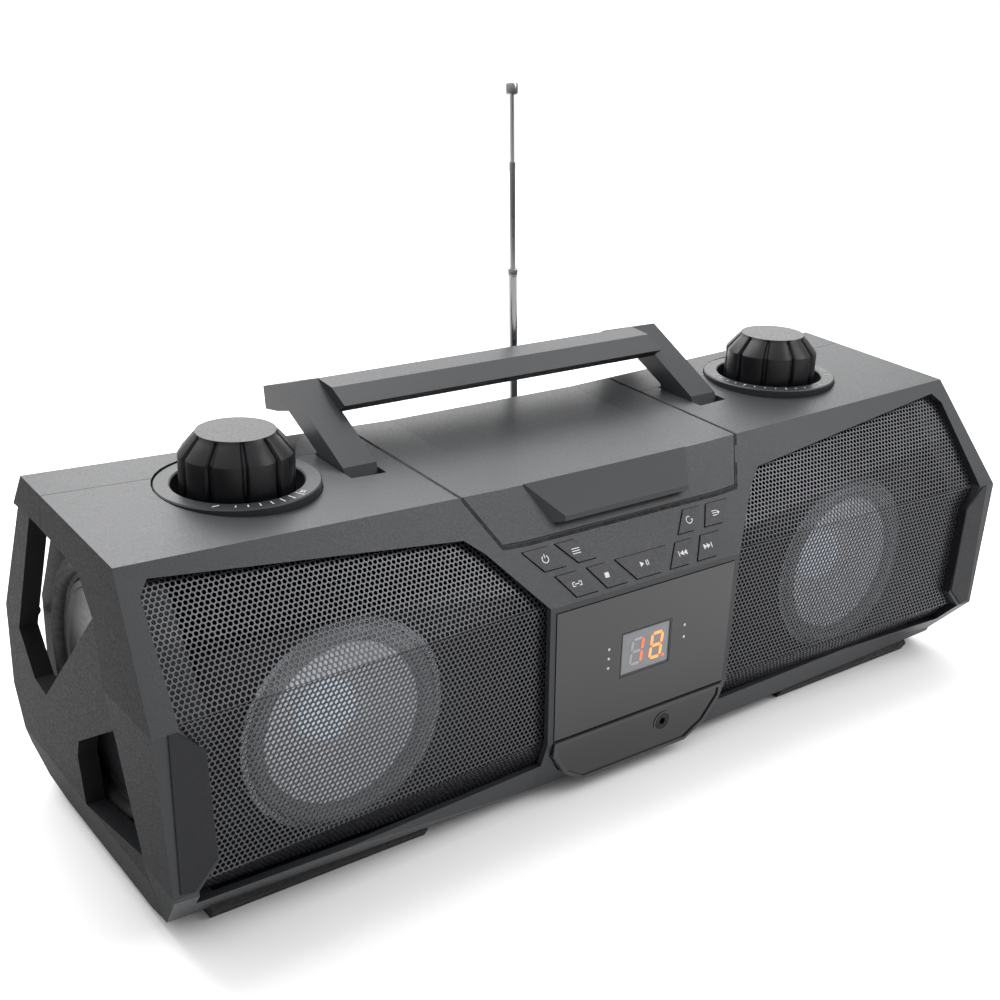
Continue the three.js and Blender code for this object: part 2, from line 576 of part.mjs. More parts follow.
// ---- rear parts ----
const coverBlock = box(-BAY.halfX + GAP, BAY.halfX - GAP, 80, 120, BAY.low + GAP, BAY.high - GAP);
const cover = bodyBlank(HALF_END, 0).intersect(coverBlock).subtract(bodyBlank(HALF_END - 4, WALL));
place('battery_cover', cover, shellPlastic);
const inletBody = box(
  INLET.x - INLET.halfX, INLET.x + INLET.halfX, 76, 94.4, INLET.z - INLET.halfZ, INLET.z + INLET.halfZ,
).subtract(box(INLET.x - 9, INLET.x + 9, 80, 100, INLET.z - 5.2, INLET.z + 5.2));
const inletPins = [-4.3, 4.3].map((dx) => disc(1.2, -91, -79, '-y', 16).translate(INLET.x + dx, 0, INLET.z));
place('ac_inlet', union([inletBody, ...inletPins]), blackPlastic);

// ---- inner parts ----
const circuit = box(-92, 92, -58, 18, 60, 61.6)
  .add(box(-60, -20, -40, -10, 61, 70))
  .add(box(10, 50, -50, -20, 61, 68))
  .add(box(60, 72, -30, 0, 61, 84));
place('main_board', circuit, board);
const core = box(122, 162, 34, 60, 14, 50).add(box(130, 154, 28, 66, 20, 44));
place('power_transformer', core, steel);

// ---- feet ----
const frontFoot = [[-70, 0], [-48, 0], [-48, 3.6], [-55, 3.6], [-71.6, 7.4], [-73, 4.6]];
const rearFoot = [[28, 0], [41, 0], [41, 3.6], [28, 3.6]];
for (const [name, side] of [['left', -1], ['right', 1]]) {
  const x0 = side > 0 ? FOOT.near : -FOOT.far;
  const x1 = side > 0 ? FOOT.far : -FOOT.near;
  const clear = bodyBlank(HALF_END, -GAP);
  place(`front_${name}_foot`, prismX(frontFoot, x0, x1).subtract(clear), rubber);
  place(`rear_${name}_foot`, prismX(rearFoot, x0, x1).subtract(clear), rubber);
}

export default group;
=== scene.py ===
# Looks for the portable boombox: finer pieces, procedural materials, studio floor, lights and camera.
import bpy
import bmesh
import math
from mathutils import Vector, Matrix


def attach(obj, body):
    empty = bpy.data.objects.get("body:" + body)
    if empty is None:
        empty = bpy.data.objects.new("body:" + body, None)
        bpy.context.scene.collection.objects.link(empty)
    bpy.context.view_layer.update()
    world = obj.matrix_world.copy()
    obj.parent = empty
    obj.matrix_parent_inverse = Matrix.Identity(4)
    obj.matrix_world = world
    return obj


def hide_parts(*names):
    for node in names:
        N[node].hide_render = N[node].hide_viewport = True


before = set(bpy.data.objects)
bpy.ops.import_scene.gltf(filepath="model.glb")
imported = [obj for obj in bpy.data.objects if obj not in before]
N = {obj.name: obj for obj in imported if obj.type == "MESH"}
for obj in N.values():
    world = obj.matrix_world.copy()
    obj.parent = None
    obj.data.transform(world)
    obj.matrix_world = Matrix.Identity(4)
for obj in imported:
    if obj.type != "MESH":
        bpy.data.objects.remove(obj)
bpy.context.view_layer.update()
MM = 0.001

# Places taken from the solid model, in mm.
SPEAKER_X, SPEAKER_FACE, SPEAKER_Z = 159.5, -68, 72
RADIATOR_X, RADIATOR_Y, RADIATOR_Z = 232.3, 6, 78
KNOB_X, KNOB_Y = 168.8, 5
DIAL_TOP, MARK_RADIUS = 162.6, 33.4
MARK_LOW, MARK_HIGH = 0.02, 0.12
ANTENNA_FOOT = (33, 68.5, 134)
ANTENNA_LEAN = -3.4
JACK_X, JACK_Z = 15.9, 24.6
PANEL_FACE, WINDOW_FACE = -85.8, -85.2
GRIP_RIBS, GRIP_RIB_STEP = 9, 4
END_CHAMFER = 4.0

# ------------------------------------------------------------------ materials
def nodes_of(name):
    m = bpy.data.materials.new(name)
    m.use_nodes = True
    t = m.node_tree
    for n in list(t.nodes):
        t.nodes.remove(n)
    out = t.nodes.new("ShaderNodeOutputMaterial")
    sh = t.nodes.new("ShaderNodeBsdfPrincipled")
    t.links.new(sh.outputs[0], out.inputs[0])
    return m, t, sh

def noise(t, scale, detail=3.0, rough=0.5):
    co = t.nodes.new("ShaderNodeTexCoord")
    n = t.nodes.new("ShaderNodeTexNoise")
    n.inputs["Scale"].default_value = scale
    n.inputs["Detail"].default_value = detail
    n.inputs["Roughness"].default_value = rough
    t.links.new(co.outputs["Object"], n.inputs["Vector"])
    return n

def ramp(t, src, a, b, p0=0.35, p1=0.65):
    r = t.nodes.new("ShaderNodeValToRGB")
    r.color_ramp.elements[0].position = p0
    r.color_ramp.elements[1].position = p1
    r.color_ramp.elements[0].color = a
    r.color_ramp.elements[1].color = b
    t.links.new(src, r.inputs[0])
    return r

def plastic(name, col, rough=0.5, grain=900.0, bump=0.12, spread=0.12, spec=0.5, metal=0.0, coat=0.0):
    m, t, sh = nodes_of(name)
    lo = tuple(c * (1 - spread) for c in col) + (1,)
    hi = tuple(min(1, c * (1 + spread)) for c in col) + (1,)
    broad = noise(t, 14.0, 4.0)
    t.links.new(ramp(t, broad.outputs[0], lo, hi).outputs[0], sh.inputs["Base Color"])
    fine = noise(t, grain, 2.0)
    rr = ramp(t, fine.outputs[0], (rough * 0.86,) * 3 + (1,), (min(1, rough * 1.12),) * 3 + (1,))
    t.links.new(rr.outputs[0], sh.inputs["Roughness"])
    if bump:
        b = t.nodes.new("ShaderNodeBump")
        b.inputs["Strength"].default_value = bump
        b.inputs["Distance"].default_value = 0.0004
        t.links.new(fine.outputs[0], b.inputs["Height"])
        t.links.new(b.outputs[0], sh.inputs["Normal"])
    sh.inputs["Metallic"].default_value = metal
    sh.inputs["Specular IOR Level"].default_value = spec
    sh.inputs["Coat Weight"].default_value = coat
    sh.inputs["Coat Roughness"].default_value = 0.06
    return m

def glow(name, col, strength, base=(0.02, 0.02, 0.02)):
    m = plastic(name, base, 0.3, 500, 0.02)
    sh = [n for n in m.node_tree.nodes if n.type == "BSDF_PRINCIPLED"][0]
    sh.inputs["Emission Color"].default_value = col + (1,)
    sh.inputs["Emission Strength"].default_value = strength
    return m

M = dict(
    shell=plastic("shell_plastic", (0.023, 0.0243, 0.027), 0.40, 1100, 0.16, 0.05, 0.30),
    end=plastic("end_plastic", (0.010, 0.0104, 0.0115), 0.6, 1100, 0.2, 0.05, 0.08),
    pad=plastic("tab_plastic", (0.010, 0.0105, 0.012), 0.5, 1100, 0.2, 0.05, 0.22),
    black=plastic("black_plastic", (0.005, 0.0053, 0.0063), 0.36, 700, 0.05, 0.1, 0.25),
    key=plastic("key_plastic", (0.014, 0.0145, 0.017), 0.42, 900, 0.12, 0.06, 0.35),
    gloss=plastic("gloss_panel", (0.006, 0.0062, 0.007), 0.10, 60, 0.01, 0.2, 0.5, 0.0, 0.2),
    rim=plastic("gloss_rim", (0.012, 0.0125, 0.014), 0.2, 60, 0.01, 0.2, 0.5, 0.0, 0.2),
    mesh=plastic("grille_metal", (0.062, 0.063, 0.069), 0.33, 500, 0.05, 0.1, 0.6, 0.6),
    cloth=plastic("baffle_dark", (0.006, 0.006, 0.0065), 0.9, 400, 0.1),
    rubber=plastic("rubber", (0.012, 0.012, 0.012), 0.8, 500, 0.15),
    # Painted light: the surround and cone materials glow faintly, standing in for the light falling on them in
    # the shaded recess behind the grille; they are not lamps.
    surround=glow("surround_rubber_painted_glow", (0.9, 0.93, 1.0), 0.035, (0.22, 0.225, 0.23)),
    cone=glow("cone_paper_painted_glow", (0.88, 0.92, 1.0), 0.14, (0.60, 0.61, 0.63)),
    radiator=plastic("radiator_plate", (0.014, 0.0145, 0.016), 0.36, 500, 0.03, 0.08, 0.3),
    chrome=plastic("chrome", (0.28, 0.283, 0.29), 0.16, 300, 0.01, 0.03, 0.5, 1.0),
    steel=plastic("steel", (0.35, 0.36, 0.38), 0.38, 500, 0.04, 0.1, 0.5, 0.9),
    board=plastic("board", (0.02, 0.09, 0.045), 0.5, 300, 0.05),
    mark=plastic("print_white", (0.50, 0.51, 0.53), 0.5, 500, 0.02, 0.05),
    windowm=plastic("display_window", (0.15, 0.155, 0.165), 0.22, 300, 0.02, 0.1, 0.5, 0.0, 0.3),
    dim=plastic("segment_off", (0.30, 0.30, 0.31), 0.4, 300, 0.02, 0.05),
    red=glow("segment_red", (1.0, 0.13, 0.04), 1.2, (0.5, 0.06, 0.02)),
    amber=glow("segment_amber", (1.0, 0.26, 0.07), 1.5, (0.6, 0.15, 0.03)),
    blue=glow("cap_light", (0.76, 0.87, 1.0), 0.36, (0.5, 0.55, 0.62)),
)

def paint(o, m):
    o.data.materials.clear()
    o.data.materials.append(M[m])
    return o

# ------------------------------------------------------------------ mesh helpers
def make(name, verts, faces, mat, smooth=False):
    me = bpy.data.meshes.new(name)
    me.from_pydata([tuple(v) for v in verts], [], faces)
    me.update()
    o = bpy.data.objects.new(name, me)
    bpy.context.scene.collection.objects.link(o)
    o.data.materials.append(M[mat])
    bm = bmesh.new()
    bm.from_mesh(me)
    bmesh.ops.remove_doubles(bm, verts=bm.verts, dist=1e-7)
    bmesh.ops.recalc_face_normals(bm, faces=bm.faces)
    bm.to_mesh(me)
    bm.free()
    if smooth:
        me.shade_smooth()
    return o

def bevel(o, width, segments=2, angle=28):
    b = o.modifiers.new("edge", "BEVEL")
    b.width = width * MM
    b.segments = segments
    b.limit_method = "ANGLE"
    b.angle_limit = math.radians(angle)
    b.harden_normals = False
    b.use_clamp_overlap = True
    return o

def smooth_by_angle(o, deg=35):
    me = o.data
    me.shade_smooth()
    bm = bmesh.new()
    bm.from_mesh(me)
    for e in bm.edges:
        if len(e.link_faces) == 2:
            e.smooth = e.calc_face_angle(0) < math.radians(deg)
    bm.to_mesh(me)
    bm.free()
    return o

def lathe(name, profile, axis, at, mat, sides=96, deg=35):
    """Closed profile of (radius, height) in mm turned about an axis through a point."""
    verts, faces = [], []
    n = len(profile)
    for i in range(sides):
        a = 2 * math.pi * i / sides
        for r, h in profile:
            p = Vector((r * math.cos(a), r * math.sin(a), h))
            verts.append(p)
    for i in range(sides):
        j = (i + 1) % sides
        for k in range(n):
            l = (k + 1) % n
            if profile[k][0] == 0 and profile[l][0] == 0:
                continue
            faces.append((i * n + k, i * n + l, j * n + l, j * n + k))
    turn = {"z": Matrix.Identity(3), "-y": Matrix.Rotation(math.radians(90), 3, "X"),
            "x": Matrix.Rotation(math.radians(90), 3, "Y"),
            "-x": Matrix.Rotation(math.radians(-90), 3, "Y")}[axis]
    verts = [(turn @ v + Vector(at)) * MM for v in verts]
    o = make(name, verts, faces, mat)
    bm = bmesh.new()
    bm.from_mesh(o.data)
    bmesh.ops.dissolve_degenerate(bm, dist=1e-7, edges=bm.edges)
    bm.to_mesh(o.data)
    bm.free()
    return smooth_by_angle(o, deg)

def arc(cx, cy, r, a0, a1, n):
    return [(cx + r * math.cos(math.radians(a0 + (a1 - a0) * i / n)),
             cy + r * math.sin(math.radians(a0 + (a1 - a0) * i / n))) for i in range(n + 1)]

def around(x, z, points, scale=1.0):
    return [(x + p[0] * scale, z + p[1] * scale) for p in points]

def slab(name, outline, lo, hi, place, mat):
    """Outline (a, b) in mm given thickness lo..hi and put in place by a function of (a, b, c)."""
    n = len(outline)
    verts = [place(a, b, lo) for a, b in outline] + [place(a, b, hi) for a, b in outline]
    faces = [tuple(range(n)), tuple(range(n, 2 * n))]
    faces += [(i, (i + 1) % n, n + (i + 1) % n, n + i) for i in range(n)]
    return make(name, [Vector(v) * MM for v in verts], faces, mat)

def joined(name, parts):
    bpy.ops.object.select_all(action="DESELECT")
    for p in parts:
        p.select_set(True)
    bpy.context.view_layer.objects.active = parts[0]
    bpy.ops.object.join()
    parts[0].name = name
    return parts[0]

# ------------------------------------------------------------------ body sections (Y, Z), mm
REAR = [(94, 88), (95, 45), (80, 18), (64, 7), (42, 4)]
END = [(-55, 4), (-72, 8), (-95, 34.5), (-95, 108), (-53.5, 161), (50, 166.5)] + REAR
MID = [(-55, 4), (-76, 7), (-85.4, 35.5), (-85.4, 106.7), (-49.5, 153.9), (52, 159)] + REAR
HALF_MID, HALF_END = 60.0, 257.0

def section(x):
    t = max(0.0, (abs(x) - HALF_MID) / (HALF_END - HALF_MID))
    return [(m[0] + (e[0] - m[0]) * t, m[1] + (e[1] - m[1]) * t) for m, e in zip(MID, END)]

def surf(x, v, depth):
    """Point on the front skin, v mm up (or down) the skin from the upper kink, set back by depth."""
    s = section(x)
    kink, top, low, bot = Vector(s[3]), Vector(s[4]), Vector(s[2]), Vector(s[1])
    up = (top - kink)
    L = up.length
    up = up / L
    dn = (low - kink)
    D = dn.length
    dn = dn / D
    cv = (bot - low)
    cv = cv / cv.length
    nu = Vector((-up[1], up[0]))
    nd = Vector((-1, 0))
    nc = Vector((cv[1], -cv[0]))
    if nc[0] > 0:
        nc = -nc
    if v >= 0:
        crease = 11.6 + (min(abs(x), 243) - 70) / 173 * 22.9
        bulge = 1.3 * (v / crease if v < crease else max(0.0, (L - v) / (L - crease)))
        n = nu * min(1, v / 3) + nd * (1 - min(1, v / 3))
        n = n / max(1e-6, n.length)
        p = kink + up * v - n * depth + nu * bulge
    elif v >= -D:
        p = kink + dn * (-v) - nd * depth
    else:
        w = min(1.0, (-v - D) / 3)
        n = nc * w + nd * (1 - w)
        n = n / n.length
        p = low + cv * (-v - D) - n * depth
    return Vector((x, p[0], p[1]))

# ------------------------------------------------------------------ perforated grilles
OUTLINE = [(58.8, 20), (58.8, 36), (60.4, 106.8), (84, 132.6), (93, 139.6), (238.5, 155), (243.3, 150),
           (244.5, 108.5), (235, 95.8), (231, 45), (240.5, 34.5), (238, 20)]

def inside(poly, x, z):
    c = False
    n = len(poly)
    for i in range(n):
        (x0, z0), (x1, z1) = poly[i], poly[(i + 1) % n]
        if (z0 > z) != (z1 > z) and x < (x1 - x0) * (z - z0) / (z1 - z0) + x0:
            c = not c
    return c

def edge_gap(poly, x, z):
    best = 1e9
    n = len(poly)
    for i in range(n):
        a, b = Vector(poly[i]), Vector(poly[(i + 1) % n])
        p = Vector((x, z))
        ab = b - a
        t = max(0, min(1, (p - a).dot(ab) / ab.length_squared))
        best = min(best, (a + ab * t - p).length)
    return best

def grille(side):
    pitch = 2.5
    R = pitch / math.sqrt(3)
    hole = pitch * 0.43
    depth = 4.6
    thick = 0.7
    verts, faces, index = [], [], {}
    def vert(x, v, layer):
        k = (round(x * 200), round(v * 200), layer)
        if k not in index:
            index[k] = len(verts)
            p = surf(x, v, depth + layer * thick)
            verts.append(Vector((side * p.x, p.y, p.z)) * MM)
        return index[k]
    rows = int(190 / (R * 1.5))
    for j in range(-rows, rows):
        v = j * R * 1.5
        if v < -95 or v > 66:
            continue
        off = 0.5 * pitch * (j % 2)
        for i in range(int(50 / pitch), int(250 / pitch)):
            x = i * pitch + off
            p = surf(x, v, depth)
            ins = inside(OUTLINE, x, p.z)
            gap = edge_gap(OUTLINE, x, p.z)
            reach = 2.4 if x < 227 else 0.2
            if not ins and gap > reach:
                continue
            if p.z < 12.5:
                continue
            corners = []
            holes = []
            for k in range(6):
                a = math.radians(60 * k + 30)
                corners.append((x + R * math.cos(a), v + R * math.sin(a)))
                holes.append((x + hole * math.cos(a), v + hole * math.sin(a)))
            for k in range(6):
                l = (k + 1) % 6
                c0, c1, h0, h1 = corners[k], corners[l], holes[k], holes[l]
                a, b = vert(*c0, 0), vert(*c1, 0)
                c, d = vert(*h1, 0), vert(*h0, 0)
                faces.append((a, b, c, d))
                faces.append((vert(*c1, 1), vert(*c0, 1), vert(*h0, 1), vert(*h1, 1)))
                faces.append((d, c, vert(*h1, 1), vert(*h0, 1)))
    me = bpy.data.meshes.new("g")
    me.from_pydata([tuple(v) for v in verts], [], faces)
    name = ("left" if side < 0 else "right") + "_grille_mesh"
    me.name = name
    o = bpy.data.objects.new(name, me)
    bpy.context.scene.collection.objects.link(o)
    bm = bmesh.new()
    bm.from_mesh(me)
    bmesh.ops.recalc_face_normals(bm, faces=bm.faces)
    bm.to_mesh(me)
    bm.free()
    o.data.materials.append(M["mesh"])
    return o

for side, tag in ((-1, "left"), (1, "right")):
    g = grille(side)
    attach(g, "cabinet")
    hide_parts(tag + "_grille")

# ------------------------------------------------------------------ speakers behind the grilles
for side, tag in ((-1, "left"), (1, "right")):
    at = (side * SPEAKER_X, SPEAKER_FACE, SPEAKER_Z)
    # The surround and cone materials glow: painted light on the recessed driver.
    roll = [(38.4, 0.4)] + arc(42.5, 1.0, 4.1, 180, 0, 14) + [(46.6, 0.4)]
    o = lathe(tag + "_surround_ring", roll, "-y", at, "surround")
    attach(o, "cabinet")
    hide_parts(tag + "_speaker_surround")
    cone = [(0, -20), (13, -20), (38, -1.5), (38, 0.8), (37, 0.9), (30, -4.2), (22, -9.6), (14.5, -14.2)]
    o = lathe(tag + "_cone", cone + [(0, -14.2)], "-y", at, "cone")
    dome = [(14.4 * math.cos(math.radians(a)), -13.8 + 6.0 * math.sin(math.radians(a))) for a in range(0, 91, 9)]
    cap = [(0, -15), (14.4, -15)] + dome
    c = lathe(tag + "_dust_cap", cap, "-y", at, "blue")
    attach(o, tag + "_speaker_cone")
    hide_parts(tag + "_speaker_cone")
    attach(c, tag + "_speaker_cone")

# ------------------------------------------------------------------ knobs and dials
def knob(tag, x):
    """Fluted cap: ten lobes with clear grooves, a wide sloped shoulder and a flat top."""
    cx, cy, r, z0, z1 = x, KNOB_Y, 25.75, 154.0, 186.0
    flutes, per = 10, 26
    # Height, cut from the radius, share of the fluting.
    levels = [(z0, 0.6, 1.0), (z0 + 0.6, 0.0, 1.0), (z1 - 9.4, 0.0, 1.0),
              (z1 - 8.6, 0.5, 1.0), (z1 - 2.2, 6.0, 1.0), (z1 - 1.2, 7.2, 0.55), (z1, 8.0, 0.0), (z1, 14.0, 0.0)]
    verts, faces = [], []
    steps = flutes * per
    for z, cut, deep in levels:
        for i in range(steps):
            a = 2 * math.pi * i / steps
            d = abs((i / per) % 1.0 - 0.5) * 2
            groove = min(1.0, max(0.0, (d - 0.82) / 0.09))
            chord = 0.6 * (1 - min(1.0, d / 0.82) ** 2)
            rad = r - cut - deep * (1.9 * groove + 0.6 - chord)
            verts.append(Vector((cx + rad * math.cos(a), cy + rad * math.sin(a), z)) * MM)
    L = len(levels)
    for k in range(L - 1):
        for i in range(steps):
            j = (i + 1) % steps
            faces.append((k * steps + i, k * steps + j, (k + 1) * steps + j, (k + 1) * steps + i))
    faces.append(tuple(range(steps)))
    faces.append(tuple((L - 1) * steps + i for i in range(steps)))
    o = make(tag + "_knob_cap", verts, faces, "black")
    smooth_by_angle(o, 24)
    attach(o, tag + "_knob")
    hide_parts(tag + "_knob")

knob("volume", -KNOB_X)
knob("tuning", KNOB_X)

def flat(x0, y0, z0):
    return lambda a, b, c: (x0 + a, y0 + b, z0 + c)

for side, tag in ((-1, "volume"), (1, "tuning")):
    x = side * KNOB_X
    prof = [(37.2, 156.6), (37.2, 162.0), (36.6, DIAL_TOP), (30.2, DIAL_TOP),
            (29.6, 162.0), (29.6, 152.1), (4, 152.1), (4, 150.5),
            (31.2, 150.5), (31.2, 156.6)]
    o = lathe(tag + "_dial", prof, "z", (x, KNOB_Y, 0), "shell")
    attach(o, "cabinet")
    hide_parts(tag + "_dial_ring")
    marks = []

    def mark(outline, mx=x, my=KNOB_Y):
        marks.append(slab("m", outline, MARK_LOW, MARK_HIGH, flat(mx, my, DIAL_TOP), "mark"))

    def tick(angle, half_length, half_width):
        a = math.radians(angle)
        inner, outer = MARK_RADIUS - half_length, MARK_RADIUS + half_length
        corners = [(inner, -half_width), (outer, -half_width), (outer, half_width), (inner, half_width)]
        mark([(u * math.cos(a) - w * math.sin(a), u * math.sin(a) + w * math.cos(a)) for u, w in corners])

    def cross_bar(half_x, half_y, mx, my):
        mark([(-half_x, -half_y), (half_x, -half_y), (half_x, half_y), (-half_x, half_y)], mx, my)

    if side < 0:
        cross_bar(1.6, 0.3, x - 22.5, KNOB_Y - 24.5)
        cross_bar(1.6, 0.3, x + 17, KNOB_Y - 28.5)
        cross_bar(0.3, 1.6, x + 17, KNOB_Y - 28.5)
        for k in range(7):
            tick(-118 + k * 9, 0.9 + 0.25 * k, 0.28)
    else:
        for k in range(23):
            tick(-200 + k * 10, 1.6 if k % 4 == 0 else 0.8, 0.22)
    o = joined(tag + "_dial_marks", marks)
    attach(o, "cabinet")

# ------------------------------------------------------------------ key symbols (generic)
BY, BZ, BA = -85.4, 106.7, math.atan2(47.2, 35.9)
def band(a, b, c):
    return (a, BY + b * math.cos(BA) - c * math.sin(BA), BZ + b * math.sin(BA) + c * math.cos(BA))
def at_band(x, s, k=1.0):
    return lambda a, b, c: band(x + a * k, s + b * k, c)
def rect(x0, x1, y0, y1):
    return [(x0, y0), (x1, y0), (x1, y1), (x0, y1)]
def tri(d, x=0.0):
    return [(x - 1.1 * d, -1.3), (x + 1.1 * d, 0), (x - 1.1 * d, 1.3)]
def ring_part(r, w, a0, a1, n=16):
    return arc(0, 0, r + w, a0, a1, n) + arc(0, 0, r - w, a1, a0, n)
ICONS = {
    "button_power": ((-54.2, 22.9), [ring_part(1.7, 0.22, 125, 415), rect(-0.22, 0.22, 0.5, 2.3)]),
    "button_source": ((-36.0, 22.9), [rect(-2.2, 2.2, 0.9, 1.3), rect(-2.2, 2.2, -0.2, 0.2),
                                      rect(-2.2, 2.2, -1.3, -0.9)]),
    "button_pair": ((-42.0, 8.0), [rect(-2.4, -1.0, -1.1, -0.7), rect(-2.4, -1.0, 0.7, 1.1),
                                   rect(-2.6, -2.2, -1.1, 1.1), rect(1.0, 2.4, -1.1, -0.7),
                                   rect(1.0, 2.4, 0.7, 1.1), rect(2.2, 2.6, -1.1, 1.1),
                                   rect(-1.2, 1.2, -0.2, 0.2)]),
    "button_stop": ((-24.0, 8.0), [rect(-1.2, 1.2, -1.2, 1.2)]),
    "button_play": ((0.0, 8.4), [tri(1, -1.7), rect(0.6, 1.1, -1.3, 1.3), rect(1.7, 2.2, -1.3, 1.3)]),
    "button_previous": ((24.0, 8.0), [tri(-1, -0.1), tri(-1, 2.1), rect(-2.1, -1.6, -1.3, 1.3)]),
    "button_next": ((42.0, 8.0), [tri(1, -2.1), tri(1, 0.1), rect(1.6, 2.1, -1.3, 1.3)]),
    "button_repeat": ((36.0, 22.9), [ring_part(1.7, 0.2, 60, 360), [(1.0, 0.2), (2.6, 0.2), (1.8, -1.1)]]),
    "button_program": ((54.2, 22.9), [rect(-2.2, 0.8, 0.9, 1.3), rect(-2.2, 0.8, -0.2, 0.2),
                                      rect(-2.2, 0.8, -1.3, -0.9), [(1.2, -1.2), (2.6, 0), (1.2, 1.2)]]),
}
for node, (c, shapes) in ICONS.items():
    parts = [slab("i", s, 0.72, 0.78, at_band(*c, k=1.05), "mark") for s in shapes]
    o = joined(node + "_symbol", parts)
    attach(o, node)

# ------------------------------------------------------------------ display
def front(y):
    return lambda a, b, c: (a, y - c, b)
def segs(cx, cz, w, h, lit, dead, yy, slant=0.10):
    t = 1.5
    H = h / 2
    def P(x, z):
        return (cx + x + slant * z, cz + z)
    def bar(x0, z0, x1, z1):
        d = Vector((x1 - x0, z1 - z0)).normalized()
        n = Vector((-d.y, d.x)) * t / 2
        g = d * 0.45
        a = Vector((x0, z0)) + g
        b = Vector((x1, z1)) - g
        e = d * t / 2
        pts = [a, a + e + n, b - e + n, b, b - e - n, a + e - n]
        return [P(p.x, p.y) for p in pts]
    S = dict(a=bar(-w / 2, H, w / 2, H), b=bar(w / 2, H, w / 2, 0),
             c=bar(w / 2, 0, w / 2, -H), d=bar(-w / 2, -H, w / 2, -H),
             e=bar(-w / 2, 0, -w / 2, -H), f=bar(-w / 2, H, -w / 2, 0), g=bar(-w / 2, 0, w / 2, 0))
    on = [slab("s", S[k], 0.05, 0.25, front(yy), lit[1]) for k in lit[0]]
    off = [slab("s", S[k], 0.03, 0.12, front(yy), "dim") for k in dead]
    return on, off
win = slab("display_window", rect(-15.7, 15.7, 59.3, 81.9), 0.0, 9.0, front(-76.2), "windowm")
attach(win, "cabinet")
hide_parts("display_module")
on1, off1 = segs(-5.6, 70.4, 6.6, 13.0, ("bc", "red"), "afged", WINDOW_FACE)
on2, off2 = segs(7.0, 70.4, 6.6, 13.0, ("abcdefg", "amber"), "", WINDOW_FACE)
point = around(11.9, 63.6, arc(0, 0, 1, 0, 345, 23), 0.8)
dot = slab("s", point, 0.05, 0.2, front(WINDOW_FACE), "red")
for nm, ps in (("digits_lit", on1 + on2 + [dot]), ("digits_unlit", off1)):
    o = joined(nm, ps)
    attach(o, "cabinet")
dots = []
for x, z in ((-24, 76.5), (-24, 71.5), (-24, 66.5), (25, 76.5), (25, 70)):
    round_mark = around(x, z, arc(0, 0, 1, 0, 340, 17), 0.7)
    dots.append(slab("d", round_mark, 0.02, 0.15, front(PANEL_FACE), "mark"))
o = joined("panel_dots", dots)
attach(o, "cabinet")

# ------------------------------------------------------------------ radiators, antenna
for side, tag in ((-1, "left"), (1, "right")):
    ax = "x" if side > 0 else "-x"
    at = (side * RADIATOR_X, RADIATOR_Y, RADIATOR_Z)
    roll = [(50, 0), (64, 0), (64, 1.8), (62, 2.3)]
    roll += arc(56.5, 2.2, 4.2, 0, 180, 14) + [(50.4, 2.2), (50, 1.8)]
    o = lathe(tag + "_radiator_roll", roll, ax, at, "rubber")
    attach(o, "cabinet")
    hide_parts(tag + "_radiator_surround")
    plate = [(0, 0.6), (49.4, 0.6), (49.4, 2.2), (48.6, 3.2), (46, 3.4),
             (45.2, 2.6), (40, 2.9), (20, 4.0), (0, 4.3)]
    o = lathe(tag + "_radiator_disc", plate, ax, at, "radiator")
    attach(o, tag + "_radiator_plate")
    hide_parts(tag + "_radiator_plate")

TAB = [(231.6, 46.7), (234.3, 96.7), (246.1, 108.4), (249.6, 108.4), (248.6, 36.2), (242.2, 35.2)]
for side, tag in ((-1, "left"), (1, "right")):
    plate = slab(tag + "_corner_tab", [(side * x, z) for x, z in TAB], -0.2, 0.9,
                 lambda a, b, c: (a, section(a)[3][0] - c, b), "pad")
    bevel(plate, 0.5)
    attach(plate, "cabinet")

LEAN = Matrix.Rotation(math.radians(ANTENNA_LEAN), 4, "X")
TO_FOOT = Matrix.Translation(tuple(v * MM for v in ANTENNA_FOOT))
def mast(name, profile, body, node, mat="chrome"):
    o = lathe(name, profile, "z", (0, 0, 0), mat, 48)
    o.data.transform(LEAN)
    o.data.transform(TO_FOOT)
    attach(o, body)
    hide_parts(node)
    return o
MIDDLE = [(1.3, 66), (1.6, 66), (1.6, 146.4), (1.45, 147), (1.3, 147)]
mast("mast_middle", MIDDLE, "antenna_middle", "antenna_middle")
ROD = [(0, 128), (1.1, 128), (1.1, 181.4), (2.7, 181.5),
       (3.2, 182.0), (3.2, 186.4), (2.6, 187.5), (0, 187.6)]
mast("mast_rod", ROD, "antenna_rod", "antenna_rod")

